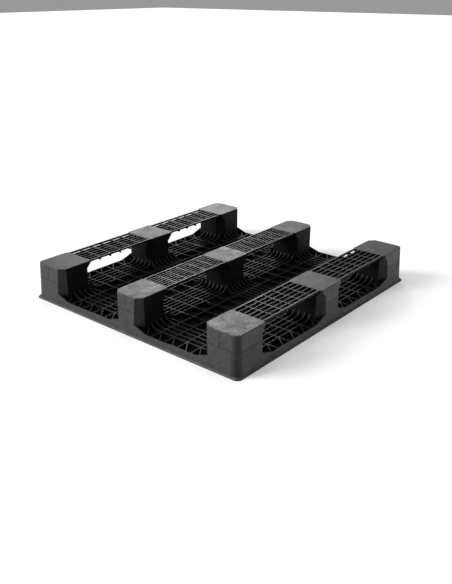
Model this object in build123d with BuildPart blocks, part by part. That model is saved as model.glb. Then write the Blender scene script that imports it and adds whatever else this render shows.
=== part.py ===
from build123d import *

import math
import os

# A nine-leg plastic pallet on three runners, lying on its load face with the runners up.
#
# Units are millimetres.  X runs along the runners, Y across them and Z up.  The origin is the
# centre of the load face, which lies on the ground plane.  The pallet is four mouldings: a deck
# with nine upper leg halves, and three runners that carry the nine lower leg halves.  Screws
# driven from the load face hold each pair of leg halves together.

# ---- overall -------------------------------------------------------------------------------
LENGTH = 1219.0  # X, along the runners
WIDTH = 1143.0  # Y, across the runners
HEIGHT = 165.0
SEAM_HEIGHT = 102.0  # where the deck's leg halves meet the runners' leg halves

# ---- outside form --------------------------------------------------------------------------
LIP = 5.0  # how far the rim of the load face stands out past the walls
LIP_EDGE = 2.0  # upright part of the rim's edge
OUTER_DRAFT = 3.0  # degrees
RIM_ROUND = 20.0  # radius of the rim's corners in plan
WALL_ROUND = 35.0  # the same for the walls above it
WALL = 4.5
SKIN = 3.5  # closed load face
SEAM_GROOVE = 1.2  # depth of the groove round each leg at the seam
SEAM_GROOVE_HALF = 0.8

# ---- legs ----------------------------------------------------------------------------------
LEG_CHAMFER = 33.0
LEG_ROUND = 6.0
END_LEG_DEPTH = 172.5  # of an end leg, from the wall's foot inwards along X
SIDE_LEG_DEPTH = 172.5  # of a side leg, from the wall's foot inwards along Y
MIDDLE_LEG_LENGTH = 149.0  # X
MIDDLE_LEG_WIDTH = 146.0  # Y
LEG_EDGE_ROUND = 3.0  # round the edge of the ground face
SHOULDER_LOW = 128.0  # from here a leg's cut corners fill out towards the runner's spans
SHOULDER_HIGH = 153.0
SHOULDER_CHAMFER = 9.0  # what is left of the cut at the ground face
LEG_RIB = 4.0  # cross ribs inside a leg
GROUND_SKIN = 4.5  # closed face under each leg

# ---- deck ribs -----------------------------------------------------------------------------
RIB = 4.0
RIB_HEIGHT = 30.0
MAIN_CELLS = 6  # from the centre line to the end or side band, both ways
MAIN_PITCH_X = 72.0
MAIN_PITCH_Y = 67.5
FINE_PER_MAIN = 3  # fine cells to one main cell in the bands through the middle legs
BAND_CELLS = 4
BAND_PITCH_X = 27.0
BAND_PITCH_Y = 25.9
BRACE = 3.5  # slanting ribs in the outermost cells
BRACE_RUN = 49.0  # how far a brace runs along the wall

# ---- fascia --------------------------------------------------------------------------------
FASCIA_HEIGHT = 31.0
FASCIA_ROUND = 30.0  # where its slopes meet the level part
FASCIA_LEG_HEIGHT = 53.0  # where the fascia runs into a leg
FASCIA_SLOPE = 66.0  # length of its slope beside a leg

# ---- flares: ribs sweep up to the legs -----------------------------------------------------
FLARE_REACH = 45.0
SHORT_FLARE_REACH = 28.0  # at the centre legs, along X
FLARE_RISE = 28.0
FLARE_STEPS = 6

# ---- runners -------------------------------------------------------------------------------
SPAN_HEIGHT = 18.0
HAUNCH_HEIGHT = 25.0  # depth of the lengthwise ribs at a leg
HAUNCH_LENGTH = 50.0
EDGE_BAR = 7.0
EDGE_BAR_HEIGHT = 8.0
SPAN_RIB = 3.5
SPAN_RIB_DROP = 1.5  # their top edges below the ground face
SPAN_CELLS_X = 6
OUTER_SPAN_CELLS_Y = 6
MIDDLE_SPAN_CELLS_Y = 8
SPAN_INSET = 6.0  # span edge behind the leg's face, inner edges
SPAN_OUTER_INSET = 11.0  # the same on the pallet's outer side
END_GROOVE_WIDTH = 6.0
END_GROOVE_DEPTH = 0.7
END_GROOVE_TOP = 6.0  # below the ground face

# ---- blank marking fields ------------------------------------------------------------------
FIELD_DEPTH = 0.8
SIDE_FIELD = (9.0, 96.0, 22.0, 32.0)  # centre along the wall, length, centre height, height
END_FIELD = (133.0, 63.0, 18.0, 18.0)

# ---- screws --------------------------------------------------------------------------------
SCREW_SPREAD_X = 40.0
SCREW_SPREAD_Y = 36.0
SCREW_RADIUS = 3.0
SCREW_HEAD_RADIUS = 6.0
SCREW_HEAD_HEIGHT = 4.5
SCREW_LENGTH = 50.0
SCREW_TIP = 4.0  # length of the blunt point
SCREW_TIP_INSET = 2.4  # how far it narrows, all round
SOCKET_RADIUS = 2.9
SOCKET_DEPTH = 2.6
HOLE_CLEARANCE = 0.3
PILOT_CLEARANCE = 0.05
CLAMPED = 18.0  # boss floor between the screw's head and the seam
DECK_BOSS_WALL = 3.0
RUNNER_BOSS_WALL = 4.0
PILOT_SPARE = 3.0

# ---- derived -------------------------------------------------------------------------------
WALL_X = LENGTH / 2 - LIP  # foot of the end walls
WALL_Y = WIDTH / 2 - LIP  # foot of the side walls
MAIN_EDGE_X = MAIN_CELLS * MAIN_PITCH_X
MAIN_EDGE_Y = MAIN_CELLS * MAIN_PITCH_Y
BAND_EDGE_X = MAIN_EDGE_X + BAND_CELLS * BAND_PITCH_X
BAND_EDGE_Y = MAIN_EDGE_Y + BAND_CELLS * BAND_PITCH_Y
END_LEG_X = WALL_X - END_LEG_DEPTH  # inner face of an end leg
SIDE_LEG_Y = WALL_Y - SIDE_LEG_DEPTH  # inner face of a side leg
TOP_INSET = HEIGHT * math.tan(math.radians(OUTER_DRAFT))
HEAD_RADIUS_HOLE = SCREW_HEAD_RADIUS + HOLE_CLEARANCE
HEAD_SEAT = SEAM_HEIGHT - CLAMPED

# the nine legs stand where three columns meet three rows: lowest and highest x of each column,
# lowest and highest y of each row, at the foot of the walls
COLUMNS = {
    "front": (-WALL_X, -END_LEG_X),
    "centre": (-MIDDLE_LEG_LENGTH / 2, MIDDLE_LEG_LENGTH / 2),
    "back": (END_LEG_X, WALL_X),
}
ROWS = {
    "left": (SIDE_LEG_Y, WALL_Y),
    "middle": (-MIDDLE_LEG_WIDTH / 2, MIDDLE_LEG_WIDTH / 2),
    "right": (-WALL_Y, -SIDE_LEG_Y),
}


def centre(span):
    """The middle of a (low, high) pair."""
    return (span[0] + span[1]) / 2


def steps(low, high, cells):
    """Cell edges from low to high."""
    return [low + (high - low) * i / cells for i in range(cells + 1)]


def pallet_corner(vertex):
    """True for a leg's corner that lies at a corner of the pallet."""
    return abs(vertex.X) > WALL_X - LEG_CHAMFER / 2 and abs(vertex.Y) > WALL_Y - LEG_CHAMFER / 2


def octagon(x_span, y_span, grow=0.0):
    """A leg's outline grown evenly by grow: a rectangle, its corners cut but for the pallet's own."""
    with BuildSketch() as outline:
        with Locations((centre(x_span), centre(y_span))):
            Rectangle(x_span[1] - x_span[0] + 2 * grow, y_span[1] - y_span[0] + 2 * grow)
        square = outline.vertices().filter_by(pallet_corner, reverse=True)
        chamfer(square, LEG_CHAMFER + grow * (2 - math.sqrt(2)))
        cut = outline.vertices().filter_by(pallet_corner, reverse=True)
        fillet(cut, LEG_ROUND)
    return outline.sketch


def pallet_outline(inset, corner):
    """The pallet's outline, drawn in from the rim by inset, with corners of the given radius."""
    with BuildSketch() as outline:
        Rectangle(LENGTH - 2 * inset, WIDTH - 2 * inset)
        fillet(outline.vertices(), corner)
    return outline.sketch


def drafted_body(inset):
    """Everything inside drafted outer walls, their foot drawn in from the rim by inset."""
    with BuildPart() as body:
        add(pallet_outline(inset, WALL_ROUND + LIP - inset))
        extrude(amount=HEIGHT, taper=OUTER_DRAFT)
    return body.part


def leg_plan(rows, grow):
    """The outlines of the legs of the given rows, grown evenly by grow."""
    with BuildSketch() as plan:
        for x_span in COLUMNS.values():
            for y_span in rows:
                add(octagon(x_span, y_span, grow))
    return plan.sketch


def leg_blocks(rows, grow, low, high, body):
    """The legs of the given rows between two heights, trimmed by the drafted body."""
    with BuildPart() as blocks:
        with BuildSketch(Plane.XY.offset(low)):
            add(leg_plan(rows, grow))
        extrude(amount=high - low)
        add(body, mode=Mode.INTERSECT)
    return blocks.part


def screw_points(x_span, y_span):
    """The four screws of a leg, seen from above."""
    return [
        (centre(x_span) + i * SCREW_SPREAD_X, centre(y_span) + j * SCREW_SPREAD_Y)
        for i in (-1, 1)
        for j in (-1, 1)
    ]


def leg_web(x_span, y_span):
    """The ribs inside one leg, in plan, running through its bosses."""
    x, y = centre(x_span), centre(y_span)
    with BuildSketch() as web:
        with Locations((x - SCREW_SPREAD_X, y), (x + SCREW_SPREAD_X, y)):
            Rectangle(LEG_RIB, y_span[1] - y_span[0])
        with Locations((x, y - SCREW_SPREAD_Y), (x, y + SCREW_SPREAD_Y)):
            Rectangle(x_span[1] - x_span[0], LEG_RIB)
        add(octagon(x_span, y_span, -WALL / 2), mode=Mode.INTERSECT)
    return web.sketch


def circles(rows, radius):
    """A circle at every screw of the given rows."""
    with BuildSketch() as rounds:
        for x_span in COLUMNS.values():
            for y_span in rows:
                with Locations(*screw_points(x_span, y_span)):
                    Circle(radius)
    return rounds.sketch


OUTER = drafted_body(LIP)
INNER = drafted_body(LIP + WALL)
ALL_ROWS = list(ROWS.values())


# ---- deck ----------------------------------------------------------------------------------
def rim():
    """The rim round the load face, its edge sloping back to the walls."""
    with BuildPart() as solid:
        add(pallet_outline(0, RIM_ROUND))
        extrude(amount=LIP_EDGE)
        with BuildSketch(Plane.XY.offset(LIP_EDGE)):
            add(pallet_outline(0, RIM_ROUND))
        extrude(amount=LIP + WALL / 2, taper=45)
    return solid.part


def fascia_gaps(legs_along):
    """The open part above the fascia between three legs, in elevation."""
    edges = [(span[0] + LEG_CHAMFER, span[1] - LEG_CHAMFER) for span in legs_along]
    with BuildSketch() as gaps:
        for before, after in zip(edges, edges[1:]):
            low = before[1]
            high = after[0]
            Polygon(
                (low, FASCIA_LEG_HEIGHT),
                (low + FASCIA_SLOPE, FASCIA_HEIGHT),
                (high - FASCIA_SLOPE, FASCIA_HEIGHT),
                (high, FASCIA_LEG_HEIGHT),
                (high, HEIGHT),
                (low, HEIGHT),
                align=None,
            )
        level = gaps.vertices().group_by(Axis.Y)[0]
        fillet(level, FASCIA_ROUND)
    return gaps.sketch


def fascia():
    """The walls round the deck, low between the legs and sloping up to them."""
    with BuildPart() as walls:
        add(OUTER)
        add(INNER, mode=Mode.SUBTRACT)
        with BuildSketch(Plane.XY.offset(FASCIA_LEG_HEIGHT)):
            Rectangle(2 * LENGTH, 2 * WIDTH)
        extrude(amount=HEIGHT, mode=Mode.SUBTRACT)
        with BuildSketch(Plane.XZ):
            add(fascia_gaps(list(COLUMNS.values())))
        extrude(amount=WIDTH, both=True, mode=Mode.SUBTRACT)
        with BuildSketch(Plane.YZ):
            add(fascia_gaps(sorted(ROWS.values())))
        extrude(amount=LENGTH, both=True, mode=Mode.SUBTRACT)
    return walls.part


def mirrored(values):
    """The values and their negatives, each once."""
    return sorted({round(sign * value, 6) for value in values for sign in (-1, 1)})


MAIN_X = mirrored([i * MAIN_PITCH_X for i in range(MAIN_CELLS + 1)])
MAIN_Y = mirrored([i * MAIN_PITCH_Y for i in range(MAIN_CELLS + 1)])
FINE_X = mirrored([i * MAIN_PITCH_X / FINE_PER_MAIN for i in range(1, FINE_PER_MAIN)])
FINE_Y = mirrored([i * MAIN_PITCH_Y / FINE_PER_MAIN for i in range(1, FINE_PER_MAIN)])
BAND_X = mirrored([MAIN_EDGE_X + i * BAND_PITCH_X for i in range(1, BAND_CELLS + 1)])
BAND_Y = mirrored([MAIN_EDGE_Y + i * BAND_PITCH_Y for i in range(1, BAND_CELLS + 1)])


def brace_lines():
    """Plan lines of the braces, each from a crossing on the last rib out to the wall."""
    lines = []
    for y in MAIN_Y:
        lines.append(((-WALL_X, y - BRACE_RUN), (-BAND_EDGE_X, y)))
        lines.append(((BAND_EDGE_X, y), (WALL_X, y + BRACE_RUN)))
    for x in MAIN_X:
        lines.append(((x - BRACE_RUN, -WALL_Y), (x, -BAND_EDGE_Y)))
        lines.append(((x, BAND_EDGE_Y), (x + BRACE_RUN, WALL_Y)))
    return lines


def braces():
    """The braces in plan."""
    with BuildSketch() as plan:
        for start, end in brace_lines():
            run = end[0] - start[0]
            rise = end[1] - start[1]
            angle = math.degrees(math.atan2(rise, run))
            with Locations(((start[0] + end[0]) / 2, (start[1] + end[1]) / 2)):
                Rectangle(math.hypot(run, rise), BRACE, rotation=angle)
    return plan.sketch


def rib_grid():
    """The deck's ribs in plan, clear of the legs."""
    with BuildSketch() as grid:
        with Locations(*[(x, 0) for x in MAIN_X + FINE_X + BAND_X]):
            Rectangle(RIB, 2 * WALL_Y - WALL)
        with Locations(*[(0, y) for y in MAIN_Y + FINE_Y + BAND_Y]):
            Rectangle(2 * WALL_X - WALL, RIB)
        add(braces())
        add(pallet_outline(LIP + WALL / 2, WALL_ROUND), mode=Mode.INTERSECT)
        add(leg_plan(ALL_ROWS, -WALL / 2), mode=Mode.SUBTRACT)
    return grid.sketch


def lengthwise_flare_places(column):
    """Where ribs along X meet the legs of a column, turned to face away from the leg."""
    x_span = COLUMNS[column]
    places = []
    for y_span in ALL_ROWS:
        for y in MAIN_Y + FINE_Y + BAND_Y:
            if y_span[0] < y < y_span[1]:
                if x_span[0] > -WALL_X:
                    places.append(Location((x_span[0], y, 0), (0, 0, 180)))
                if x_span[1] < WALL_X:
                    places.append(Location((x_span[1], y, 0), (0, 0, 0)))
    return places


def crosswise_flare_places():
    """Where ribs along Y meet the legs, turned to face away from the leg."""
    places = []
    for x_span in COLUMNS.values():
        for y_span in ALL_ROWS:
            for x in MAIN_X + FINE_X + BAND_X:
                if x_span[0] < x < x_span[1]:
                    if y_span[0] > -WALL_Y:
                        places.append(Location((x, y_span[0], 0), (0, 0, 270)))
                    if y_span[1] < WALL_Y:
                        places.append(Location((x, y_span[1], 0), (0, 0, 90)))
    return places


def flare(reach):
    """One upright plate that carries a rib up to a leg in a hollow curve."""
    curve = []
    for i in range(FLARE_STEPS + 1):
        angle = math.pi / 2 * i / FLARE_STEPS
        curve.append((reach * (1 - math.cos(angle)), RIB_HEIGHT + FLARE_RISE * (1 - math.sin(angle))))
    with BuildPart() as plate:
        with BuildSketch(Plane.XZ):
            Polygon(
                *curve,
                (reach, SKIN / 2),
                (-LEG_CHAMFER, SKIN / 2),
                (-LEG_CHAMFER, RIB_HEIGHT + FLARE_RISE),
                align=None,
            )
        extrude(amount=RIB / 2, both=True)
    return plate.part


def flares():
    """All the plates that carry ribs up to the legs."""
    end_places = lengthwise_flare_places("front") + lengthwise_flare_places("back")
    with BuildPart() as plates:
        with Locations(*end_places, *crosswise_flare_places()):
            add(flare(FLARE_REACH), clean=False)
        with Locations(*lengthwise_flare_places("centre")):
            add(flare(SHORT_FLARE_REACH), clean=False)
        add(leg_blocks(ALL_ROWS, -WALL / 2, 0, HEIGHT, OUTER), mode=Mode.SUBTRACT, clean=False)
        add(INNER, mode=Mode.INTERSECT)
    return plates.part


def marking_fields():
    """Shallow blank fields low on the walls: one at each side's centre leg, one on each end wall."""
    tilt = math.tan(math.radians(OUTER_DRAFT))
    side_along, side_length, side_up, side_height = SIDE_FIELD
    end_along, end_length, end_up, end_height = END_FIELD
    with BuildPart() as fields:
        for sign in (-1, 1):
            out = sign * (WALL_Y - side_up * tilt)
            with Locations(Location((-sign * side_along, out, side_up), (sign * OUTER_DRAFT, 0, 0))):
                Box(side_length, 2 * FIELD_DEPTH, side_height)
            out = sign * (WALL_X - end_up * tilt)
            with Locations(Location((out, sign * end_along, end_up), (0, -sign * OUTER_DRAFT, 0))):
                Box(2 * FIELD_DEPTH, end_length, end_height)
    return fields.part


def groove(rows, low, high):
    """A shallow groove round each leg of the given rows."""
    with BuildPart() as rings:
        with BuildSketch(Plane.XY.offset(low)):
            add(leg_plan(rows, SEAM_GROOVE))
        extrude(amount=high - low)
        inside = leg_blocks(rows, -SEAM_GROOVE, low, high, drafted_body(LIP + SEAM_GROOVE))
        add(inside, mode=Mode.SUBTRACT)
    return rings.part


def leg_insides(rows, low, high):
    """The ribs inside the legs of the given rows."""
    with BuildPart() as ribs:
        with BuildSketch(Plane.XY.offset(low)):
            for x_span in COLUMNS.values():
                for y_span in rows:
                    add(leg_web(x_span, y_span))
        extrude(amount=high - low)
        add(drafted_body(LIP + WALL / 2), mode=Mode.INTERSECT)
    return ribs.part


def deck():
    """The load face, its ribs and walls, and the upper halves of the nine legs."""
    with BuildPart() as body:
        with BuildSketch(Plane.XY.offset(SKIN / 2)):
            add(rib_grid())
        extrude(amount=RIB_HEIGHT - SKIN / 2, clean=False)
        add(flares(), clean=False)
        add(leg_blocks(ALL_ROWS, 0, SKIN / 2, SEAM_HEIGHT, OUTER), clean=False)
        hollow = leg_blocks(ALL_ROWS, -WALL, SKIN, SEAM_HEIGHT, INNER)
        add(hollow, mode=Mode.SUBTRACT, clean=False)
        add(leg_insides(ALL_ROWS, SKIN / 2, SEAM_HEIGHT), clean=False)
        with BuildSketch():
            add(circles(ALL_ROWS, HEAD_RADIUS_HOLE + DECK_BOSS_WALL))
        extrude(amount=SEAM_HEIGHT, clean=False)
        add(fascia(), clean=False)
        add(rim(), clean=False)
        with BuildSketch():
            add(pallet_outline(LIP + WALL / 2, WALL_ROUND))
        extrude(amount=SKIN)
        with BuildSketch():
            add(circles(ALL_ROWS, HEAD_RADIUS_HOLE))
        extrude(amount=HEAD_SEAT, mode=Mode.SUBTRACT, clean=False)
        with BuildSketch():
            add(circles(ALL_ROWS, SCREW_RADIUS + HOLE_CLEARANCE))
        extrude(amount=SEAM_HEIGHT, mode=Mode.SUBTRACT, clean=False)
        add(marking_fields(), mode=Mode.SUBTRACT, clean=False)
        add(groove(ALL_ROWS, SEAM_HEIGHT - SEAM_GROOVE_HALF, SEAM_HEIGHT), mode=Mode.SUBTRACT)
    return body.part


# ---- runners -------------------------------------------------------------------------------
def span_edges(row):
    """The outside faces of a runner's two edge bars."""
    low, high = ROWS[row]
    outer_wall = WALL_Y - TOP_INSET
    if row == "left":
        return (low + SPAN_INSET, outer_wall - SPAN_OUTER_INSET)
    if row == "right":
        return (SPAN_OUTER_INSET - outer_wall, high - SPAN_INSET)
    return (low + SPAN_INSET, high - SPAN_INSET)


def spans(row, cells_across):
    """The open grids between a runner's legs: two edge bars with deeper, thinner ribs between."""
    edges = span_edges(row)
    middle = centre(edges)
    width = edges[1] - edges[0]
    columns = sorted(COLUMNS.values())
    bays = [(a[1], b[0]) for a, b in zip(columns, columns[1:])]
    crossings = [x for low, high in bays for x in steps(low, high, SPAN_CELLS_X)[1:-1]]
    lengthwise = steps(edges[0] + EDGE_BAR / 2, edges[1] - EDGE_BAR / 2, cells_across)[1:-1]
    top = HEIGHT - SPAN_RIB_DROP
    into_leg = WALL / 2
    with BuildPart() as grid:
        with BuildSketch(Plane.XZ):
            for low, high in bays:
                Polygon(
                    (low - into_leg, top),
                    (low - into_leg, HEIGHT - HAUNCH_HEIGHT),
                    (low + HAUNCH_LENGTH, HEIGHT - SPAN_HEIGHT),
                    (high - HAUNCH_LENGTH, HEIGHT - SPAN_HEIGHT),
                    (high + into_leg, HEIGHT - HAUNCH_HEIGHT),
                    (high + into_leg, top),
                    align=None,
                )
        extrude(amount=WIDTH, both=True)
        with BuildSketch():
            with Locations(*[(0, y) for y in lengthwise]):
                Rectangle(LENGTH, SPAN_RIB)
        extrude(amount=HEIGHT, mode=Mode.INTERSECT)
        with BuildSketch(Plane.XY.offset(HEIGHT - SPAN_HEIGHT)):
            with Locations(*[(x, middle) for x in crossings]):
                Rectangle(SPAN_RIB, width - EDGE_BAR)
        extrude(amount=SPAN_HEIGHT - SPAN_RIB_DROP)
        with BuildSketch(Plane.XY.offset(HEIGHT - EDGE_BAR_HEIGHT)):
            for low, high in bays:
                ends = [(centre((low, high)), y + EDGE_BAR / 2) for y in (edges[0], edges[1] - EDGE_BAR)]
                with Locations(*ends):
                    Rectangle(high - low + 2 * (SHOULDER_CHAMFER + into_leg), EDGE_BAR)
        extrude(amount=EDGE_BAR_HEIGHT)
    return grid.part


def side_face(y, height):
    """Where a leg's side face is at a height: it leans in where it is the pallet's own side."""
    if abs(y) < WALL_Y:
        return y
    return math.copysign(WALL_Y - height * math.tan(math.radians(OUTER_DRAFT)), y)


def corner_strip(corner, sides, height, cut):
    """A level section of a shoulder: from inside the leg out to a corner cut of the given size."""
    x, y = corner
    y = side_face(y, height)
    root = LEG_CHAMFER + WALL
    with BuildSketch(Plane.XY.offset(height)) as strip:
        Polygon(
            (x - sides[0] * root, y),
            (x - sides[0] * cut, y),
            (x, y - sides[1] * cut),
            (x, y - sides[1] * root),
            align=None,
        )
    return strip.sketch


def shoulder(corner, sides):
    """Fills out one cut corner of a leg, growing upwards to a small cut at the ground face."""
    with BuildPart() as filler:
        add(corner_strip(corner, sides, SHOULDER_LOW, LEG_CHAMFER))
        add(corner_strip(corner, sides, SHOULDER_HIGH, SHOULDER_CHAMFER))
        loft(ruled=True)
    with BuildPart() as head:
        add(corner_strip(corner, sides, SHOULDER_HIGH, SHOULDER_CHAMFER))
        add(corner_strip(corner, sides, HEIGHT, SHOULDER_CHAMFER))
        loft(ruled=True)
    return [filler.part, head.part]


def shoulders(row):
    """The shoulders of a runner, at every leg corner beside a span."""
    fillers = []
    for x_span in COLUMNS.values():
        for x_side, x in zip((-1, 1), x_span):
            if abs(x) < WALL_X:
                for y_side, y in zip((-1, 1), ROWS[row]):
                    fillers += shoulder((x, y), (x_side, y_side))
    return fillers


def end_grooves(row):
    """The upright grooves in the middle of a runner's two end faces."""
    y = centre(ROWS[row])
    depth = 2 * END_GROOVE_DEPTH
    middle = SEAM_HEIGHT + (HEIGHT - END_GROOVE_TOP - SEAM_HEIGHT) / 2
    out = WALL_X - middle * math.tan(math.radians(OUTER_DRAFT))
    with BuildPart() as pair:
        for side in (-1, 1):
            with Locations(Location((side * out, y, middle), (0, side * -OUTER_DRAFT, 0))):
                Box(depth, END_GROOVE_WIDTH, HEIGHT - END_GROOVE_TOP - SEAM_HEIGHT)
    return pair.part


def runner(row, cells_across):
    """Three lower leg halves joined by two open spans."""
    rows = [ROWS[row]]
    with BuildPart() as body:
        add(leg_blocks(rows, 0, SEAM_HEIGHT, HEIGHT, OUTER))
        add(shoulders(row))
        ground = body.edges().group_by(Axis.Z)[-1]
        fillet(ground, LEG_EDGE_ROUND)
        top = HEIGHT - GROUND_SKIN
        add(leg_blocks(rows, -WALL, SEAM_HEIGHT, top, INNER), mode=Mode.SUBTRACT)
        add(leg_insides(rows, SEAM_HEIGHT, top))
        with BuildSketch(Plane.XY.offset(SEAM_HEIGHT)):
            add(circles(rows, SCREW_RADIUS + RUNNER_BOSS_WALL))
        extrude(amount=top - SEAM_HEIGHT)
        with BuildSketch(Plane.XY.offset(SEAM_HEIGHT)):
            add(circles(rows, SCREW_RADIUS + PILOT_CLEARANCE))
        extrude(amount=SCREW_LENGTH - CLAMPED + PILOT_SPARE, mode=Mode.SUBTRACT)
        add(spans(row, cells_across))
        add(groove(rows, SEAM_HEIGHT, SEAM_HEIGHT + SEAM_GROOVE_HALF), mode=Mode.SUBTRACT)
        add(end_grooves(row), mode=Mode.SUBTRACT)
    return body.part


# ---- screws --------------------------------------------------------------------------------
def leg_screws(x_span, y_span):
    """The four screws of one leg, heads towards the load face."""
    points = screw_points(x_span, y_span)
    with BuildPart() as four:
        with BuildSketch(Plane.XY.offset(HEAD_SEAT - SCREW_HEAD_HEIGHT)):
            with Locations(*points):
                Circle(SCREW_HEAD_RADIUS)
        extrude(amount=SCREW_HEAD_HEIGHT)
        with BuildSketch(Plane.XY.offset(HEAD_SEAT)):
            with Locations(*points):
                Circle(SCREW_RADIUS)
        extrude(amount=SCREW_LENGTH)
        tips = four.edges().group_by(Axis.Z)[-1]
        chamfer(tips, SCREW_TIP, SCREW_TIP_INSET)
        with BuildSketch(Plane.XY.offset(HEAD_SEAT - SCREW_HEAD_HEIGHT)):
            with Locations(*points):
                RegularPolygon(SOCKET_RADIUS, 6)
        extrude(amount=SOCKET_DEPTH, mode=Mode.SUBTRACT)
    return four.part


def save(name, piece):
    """Label a piece and write its STEP file."""
    piece.label = name
    export_step(piece, os.path.join("parts", name + ".step"))


os.makedirs("parts", exist_ok=True)
save("deck", deck())
save("runner_left", runner("left", OUTER_SPAN_CELLS_Y))
save("runner_middle", runner("middle", MIDDLE_SPAN_CELLS_Y))
save("runner_right", runner("right", OUTER_SPAN_CELLS_Y))
for column, x_reach in COLUMNS.items():
    for row, y_reach in ROWS.items():
        save("screws_" + column + "_" + row, leg_screws(x_reach, y_reach))
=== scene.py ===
"""Look of the plastic pallet: recycled black plastic and zinc-plated screws, in a white studio.

Lengths are in metres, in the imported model's frame, and angles in degrees unless said otherwise.
The pallet lies on its load face with its runners up.
"""

import math

import bpy
from mathutils import Matrix, Vector


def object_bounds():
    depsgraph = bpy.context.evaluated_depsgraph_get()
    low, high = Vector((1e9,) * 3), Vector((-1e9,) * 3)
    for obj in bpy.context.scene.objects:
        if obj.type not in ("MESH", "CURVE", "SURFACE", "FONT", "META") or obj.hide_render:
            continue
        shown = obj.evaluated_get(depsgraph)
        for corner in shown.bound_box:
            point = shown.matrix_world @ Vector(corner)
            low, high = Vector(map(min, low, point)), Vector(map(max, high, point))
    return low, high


# ---- camera ----------------------------------------------------------------------------------
SENSOR = 36.0  # mm, along the picture's longer side
LENS = 43.83  # mm
AZIMUTH = -50.0
ELEVATION = 23.4
DISTANCE = 3.194  # from a point at TARGET_HEIGHT over the pallet's centre
TARGET_HEIGHT = 0.0762
AIM_RIGHT = 0.004  # how far the camera is then slid sideways and up, looking the same way
AIM_UP = -0.0878
CLIP_END = 100.0

# ---- studio ----------------------------------------------------------------------------------
FLOOR_SIZE = 60.0
FLOOR_WHITE = (0.92, 0.92, 0.92, 1.0)
SURROUNDINGS = (1.0, 1.0, 1.0, 1.0)
SURROUNDINGS_STRENGTH = 0.32
# lamp: (azimuth, elevation, strength, angle it fills)
LAMPS = {
    "key": (-130.0, 28.0, 2.9, 34.0),
    "side": (22.0, 12.0, 0.3, 50.0),
    "back": (133.0, 27.0, 0.55, 14.0),
    "overhead": (-60.0, 80.0, 1.2, 60.0),
}

# ---- plastic ---------------------------------------------------------------------------------
PLASTIC_DARK = (0.013, 0.013, 0.0132, 1.0)
PLASTIC_LIGHT = (0.050, 0.050, 0.0502, 1.0)
SCUFFED = (0.150, 0.150, 0.150, 1.0)
# painted shade: near-black standing in for the shadow inside the pallet
PAINTED_SHADE_COLOUR = (0.0065, 0.0065, 0.0067, 1.0)
BLACK = (0.0, 0.0, 0.0, 1.0)
WHITE = (1.0, 1.0, 1.0, 1.0)
DECK_ROUGHNESS = 0.50
RUNNER_ROUGHNESS = 0.43
SMOOTHEST = -0.07  # how far the roughness strays from its mean, down and up
ROUGHEST = 0.10
PAINTED_SHADE_SHINE = 0.06
UNSHADED_SHINE = 0.42

# ---- painted shade inside the pallet, and where the plastic is worn --------------------------
WALL_DRAFT = math.radians(3.0)
WALL_MARGIN = 0.0011  # how far behind its face a wall counts as outside the painted shade
CORNER_REACH = 0.0300  # the same at the rounded corners, both walls taken together
SLANTED = 0.2  # product of a normal's level parts that marks a leg's corner cut
CUT_REACH = 0.042  # how far from the walls the corner cuts lie
CUT_FOOT = 0.045  # and from what height
WALL_SHADED_LEVEL = 0.76  # painted shade: the walls' share of the lighter colour, a runner's ground plates having 1
SLANT_PAINTED_SHADE = 0.95  # painted shade: how much of it a slanting face loses, for each unit of that product
RIM_WIDTH = 0.0050  # the load face's rim stands out this far past the walls
RIB_TOPS = 0.060  # up to this height the upward edges are the deck's, and darkest
RUNNER_TOPS = 0.150  # from this height they are the runners', and lightest
RIB_TOP_LEVEL = 0.38
CELL_FLOOR = 0.024  # below this, what faces up is the floor of a cell
UPWARD = 0.35  # least rise of a normal that counts as facing up

# ---- screws ----------------------------------------------------------------------------------
STEEL_DULL = (0.48, 0.48, 0.46, 1.0)
STEEL_BRIGHT = (0.62, 0.62, 0.60, 1.0)


def new_material(name):
    """A material with its node collections and its shader."""
    material = bpy.data.materials.new(name)
    material.use_nodes = True
    tree = material.node_tree
    return material, tree.nodes, tree.links, tree.nodes["Principled BSDF"]


def feed(links, socket, value):
    """Gives an input its value, which is another node's output or a constant."""
    if isinstance(value, bpy.types.NodeSocket):
        links.new(value, socket)
    elif value is not None:
        socket.default_value = value


def colour_ramp(nodes, links, value, stops):
    """A ramp through (position, colour) stops."""
    ramp = nodes.new("ShaderNodeValToRGB")
    elements = ramp.color_ramp.elements
    while len(elements) < len(stops):
        elements.new(0.5)
    for element, (position, colour) in zip(elements, stops):
        element.position = position
        element.color = colour
    links.new(value, ramp.inputs["Fac"])
    return ramp.outputs["Color"]


def noise(nodes, links, vector, scale, detail, roughness, distortion=0.0):
    """Noise in object space, so that it stays on the surface from every side."""
    texture = nodes.new("ShaderNodeTexNoise")
    texture.inputs["Scale"].default_value = scale
    texture.inputs["Detail"].default_value = detail
    texture.inputs["Roughness"].default_value = roughness
    texture.inputs["Distortion"].default_value = distortion
    links.new(vector, texture.inputs["Vector"])
    return texture.outputs["Fac"]


def maths(nodes, links, operation, first, second=None):
    """One Math node; inputs are sockets or numbers."""
    node = nodes.new("ShaderNodeMath")
    node.operation = operation
    for socket, value in zip(node.inputs, (first, second)):
        feed(links, socket, value)
    return node.outputs["Value"]


def spread(nodes, links, value, low, high, start=0.0, end=1.0):
    """Takes a value from between start and end to between low and high."""
    node = nodes.new("ShaderNodeMapRange")
    links.new(value, node.inputs["Value"])
    node.inputs["From Min"].default_value = start
    node.inputs["From Max"].default_value = end
    node.inputs["To Min"].default_value = low
    node.inputs["To Max"].default_value = high
    return node.outputs["Result"]


def mix_colours(nodes, links, factor, first, second):
    """From the first colour at a factor of 0 to the second at 1."""
    mix = nodes.new("ShaderNodeMix")
    mix.data_type = "RGBA"
    links.new(factor, mix.inputs["Factor"])
    feed(links, mix.inputs["A"], first)
    feed(links, mix.inputs["B"], second)
    return mix.outputs["Result"]


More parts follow.
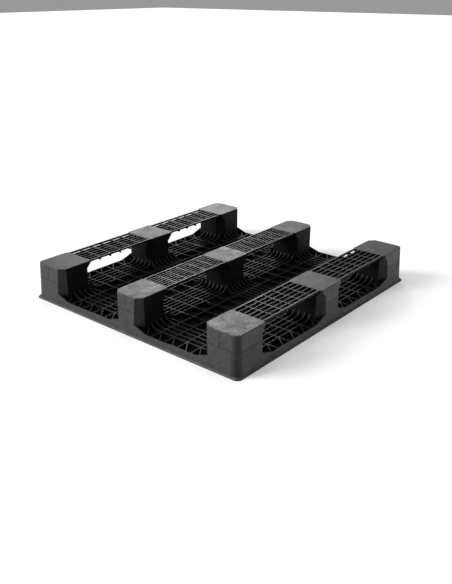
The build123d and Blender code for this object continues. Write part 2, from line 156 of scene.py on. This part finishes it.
def bump(nodes, links, height, strength, depth, under=None):
    """A bumpy normal, on top of another one where that is given."""
    node = nodes.new("ShaderNodeBump")
    node.inputs["Strength"].default_value = strength
    node.inputs["Distance"].default_value = depth
    links.new(height, node.inputs["Height"])
    if under is not None:
        links.new(under, node.inputs["Normal"])
    return node.outputs["Normal"]


def painted_shade_and_wear_mask(nodes, links, coordinates, half_sizes):
    """1 where the plastic takes its scuffed colour, 0 where painted shade darkens the inside of
    the pallet.

    Out of the painted shade are the outer walls with their rounded corners, the legs' corner cuts
    beside them, the load face, and whatever faces up above the floors of the cells, the deck's
    ribs less than the runners; the walls get less than the plates, and slanting faces less still.
    """

    def combine(operation, first, second=None):
        return maths(nodes, links, operation, first, second)

    place = nodes.new("ShaderNodeSeparateXYZ")
    links.new(coordinates.outputs["Object"], place.inputs["Vector"])
    facing = nodes.new("ShaderNodeSeparateXYZ")
    links.new(coordinates.outputs["Normal"], facing.inputs["Vector"])
    height = place.outputs["Z"]

    lean = combine("MULTIPLY", height, math.tan(WALL_DRAFT))
    gaps = []
    for axis, half_size in zip("XY", half_sizes):
        reach = combine("ADD", combine("ABSOLUTE", place.outputs[axis]), lean)
        gaps.append(combine("SUBTRACT", half_size - RIM_WIDTH, reach))
    nearest = combine("MINIMUM", *gaps)
    wall = combine("LESS_THAN", nearest, WALL_MARGIN)
    corner = combine("LESS_THAN", combine("ADD", *gaps), CORNER_REACH)
    underneath = combine("LESS_THAN", height, WALL_MARGIN)

    slant = combine("ABSOLUTE", combine("MULTIPLY", facing.outputs["X"], facing.outputs["Y"]))
    cut = combine("GREATER_THAN", slant, SLANTED)
    cut = combine("MULTIPLY", cut, combine("LESS_THAN", nearest, CUT_REACH))
    cut = combine("MULTIPLY", cut, combine("GREATER_THAN", height, CUT_FOOT))
    outside = combine("MAXIMUM", wall, combine("MAXIMUM", corner, cut))
    # Painted shade: walls are darker than the plates, and slanting corner faces darker still.
    wall_level = combine("SUBTRACT", WALL_SHADED_LEVEL, combine("MULTIPLY", slant, SLANT_PAINTED_SHADE))
    outside = combine("MULTIPLY", outside, wall_level)

    up = combine("GREATER_THAN", facing.outputs["Z"], UPWARD)
    # Upward faces grow lighter with height, from the deck's ribs to the runners.
    rise = spread(nodes, links, height, RIB_TOP_LEVEL, 1.0, start=RIB_TOPS, end=RUNNER_TOPS)
    top = combine("MULTIPLY", combine("GREATER_THAN", height, CELL_FLOOR), rise)
    top = combine("MULTIPLY", up, top)
    return combine("MAXIMUM", top, combine("MAXIMUM", outside, underneath))


def plastic(name, offset, roughness, half_sizes):
    """Matt black recycled plastic: mottled, finely grained, scuffed in patches, near-black inside
    as painted shade.

    offset shifts the pattern from one moulding to the next, and roughness is the mean one.
    """
    material, nodes, links, shader = new_material(name)
    place = nodes.new("ShaderNodeTexCoord")
    shift = nodes.new("ShaderNodeMapping")
    shift.inputs["Location"].default_value = (offset, 2.3 * offset, 0.7 * offset)
    links.new(place.outputs["Object"], shift.inputs["Vector"])
    vector = shift.outputs["Vector"]
    unshaded_wear = painted_shade_and_wear_mask(nodes, links, place, half_sizes)

    flow = noise(nodes, links, vector, scale=46.0, detail=8.0, roughness=0.72, distortion=1.6)
    mottled = colour_ramp(nodes, links, flow, [(0.34, PLASTIC_DARK), (0.66, PLASTIC_LIGHT)])
    scuffs = noise(nodes, links, vector, scale=120.0, detail=8.0, roughness=0.78, distortion=0.8)
    scuff_mask = colour_ramp(nodes, links, scuffs, [(0.54, BLACK), (0.78, WHITE)])
    scuffed = mix_colours(nodes, links, scuff_mask, mottled, SCUFFED)
    # Painted shade: inside the pallet the colour goes to near-black.
    colour = mix_colours(nodes, links, unshaded_wear, PAINTED_SHADE_COLOUR, scuffed)
    links.new(colour, shader.inputs["Base Color"])

    sheen = noise(nodes, links, vector, scale=16.0, detail=5.0, roughness=0.6, distortion=0.9)
    smooth, rough = roughness + SMOOTHEST, roughness + ROUGHEST
    sheen = spread(nodes, links, sheen, smooth, rough, start=0.3, end=0.7)
    links.new(sheen, shader.inputs["Roughness"])
    # The shine follows the same mask: weak in the painted shade inside the pallet.
    shine = spread(nodes, links, unshaded_wear, PAINTED_SHADE_SHINE, UNSHADED_SHINE)
    links.new(shine, shader.inputs["Specular IOR Level"])

    grain = noise(nodes, links, vector, scale=900.0, detail=3.0, roughness=0.6)
    ripple = noise(nodes, links, vector, scale=70.0, detail=4.0, roughness=0.6)
    fine = bump(nodes, links, grain, strength=0.25, depth=0.0004)
    coarse = bump(nodes, links, ripple, strength=0.60, depth=0.0008, under=fine)
    links.new(coarse, shader.inputs["Normal"])
    return material


def zinc(name):
    """Zinc-plated steel with a faint cloudy sheen."""
    material, nodes, links, shader = new_material(name)
    shader.inputs["Metallic"].default_value = 1.0
    place = nodes.new("ShaderNodeTexCoord").outputs["Object"]
    cloud = noise(nodes, links, place, scale=240.0, detail=4.0, roughness=0.6)
    tone = colour_ramp(nodes, links, cloud, [(0.35, STEEL_DULL), (0.70, STEEL_BRIGHT)])
    links.new(tone, shader.inputs["Base Color"])
    links.new(spread(nodes, links, cloud, 0.32, 0.50), shader.inputs["Roughness"])
    return material


def paint(nodes, half_sizes):
    """Gives every CAD node its material."""
    finishes = {"deck": plastic("deck_plastic", 0.0, DECK_ROUGHNESS, half_sizes)}
    for side, offset in (("left", 3.1), ("middle", 5.7), ("right", 8.4)):
        runner = f"runner_{side}"
        finishes[runner] = plastic(f"{runner}_plastic", offset, RUNNER_ROUGHNESS, half_sizes)
    screw = zinc("screw_zinc")
    for name, node in nodes.items():
        node.data.materials.clear()
        node.data.materials.append(finishes.get(name, screw))


def back_vector(azimuth, elevation):
    """The direction from the object to a camera or lamp at these angles."""
    a = math.radians(azimuth)
    e = math.radians(elevation)
    return Vector((math.sin(a) * math.cos(e), -math.cos(a) * math.cos(e), math.sin(e)))


def add_camera():
    """The camera at the picture's viewing angle."""
    back = back_vector(AZIMUTH, ELEVATION)
    right = Vector((math.cos(math.radians(AZIMUTH)), math.sin(math.radians(AZIMUTH)), 0))
    up = back.cross(right)
    data = bpy.data.cameras.new("camera")
    data.sensor_width = SENSOR
    data.lens = LENS
    data.clip_end = CLIP_END
    camera = bpy.data.objects.new("camera", data)
    place = Vector((0, 0, TARGET_HEIGHT)) + DISTANCE * back + AIM_RIGHT * right + AIM_UP * up
    turn = Matrix((right, up, back)).transposed().to_4x4()
    camera.matrix_world = Matrix.Translation(place) @ turn
    bpy.context.scene.collection.objects.link(camera)
    bpy.context.scene.camera = camera


def add_sun(name, azimuth, elevation, strength, softness):
    """A distant lamp, softness being the angle it fills."""
    data = bpy.data.lights.new(name, "SUN")
    data.energy = strength
    data.angle = math.radians(softness)
    lamp = bpy.data.objects.new(name, data)
    lamp.rotation_mode = "QUATERNION"
    lamp.rotation_quaternion = back_vector(azimuth, elevation).to_track_quat("Z", "Y")
    bpy.context.scene.collection.objects.link(lamp)


def add_floor():
    """The white floor that the pallet lies on."""
    bpy.ops.mesh.primitive_plane_add(size=FLOOR_SIZE, location=(0, 0, 0))
    floor = bpy.context.object
    floor.name = "floor"
    paper, _, _, shader = new_material("floor_white")
    shader.inputs["Base Color"].default_value = FLOOR_WHITE
    shader.inputs["Roughness"].default_value = 0.9
    shader.inputs["Specular IOR Level"].default_value = 0.1
    floor.data.materials.append(paper)


def add_studio():
    """A white floor, white surroundings and soft lamps."""
    add_floor()
    world = bpy.data.worlds.new("studio")
    world.use_nodes = True
    background = world.node_tree.nodes["Background"]
    background.inputs["Color"].default_value = SURROUNDINGS
    background.inputs["Strength"].default_value = SURROUNDINGS_STRENGTH
    bpy.context.scene.world = world
    bpy.context.scene.view_settings.view_transform = "Standard"
    for name, settings in LAMPS.items():
        add_sun(name, *settings)


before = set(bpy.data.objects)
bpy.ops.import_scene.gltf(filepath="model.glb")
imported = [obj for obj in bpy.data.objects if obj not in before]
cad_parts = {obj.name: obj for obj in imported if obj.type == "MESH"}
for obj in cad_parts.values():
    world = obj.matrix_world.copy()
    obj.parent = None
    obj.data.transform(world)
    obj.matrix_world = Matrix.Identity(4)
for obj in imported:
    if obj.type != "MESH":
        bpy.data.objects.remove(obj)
cad_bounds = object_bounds()
half_length, half_width = cad_bounds[1][0], cad_bounds[1][1]
paint(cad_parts, (half_length, half_width))
add_camera()
add_studio()
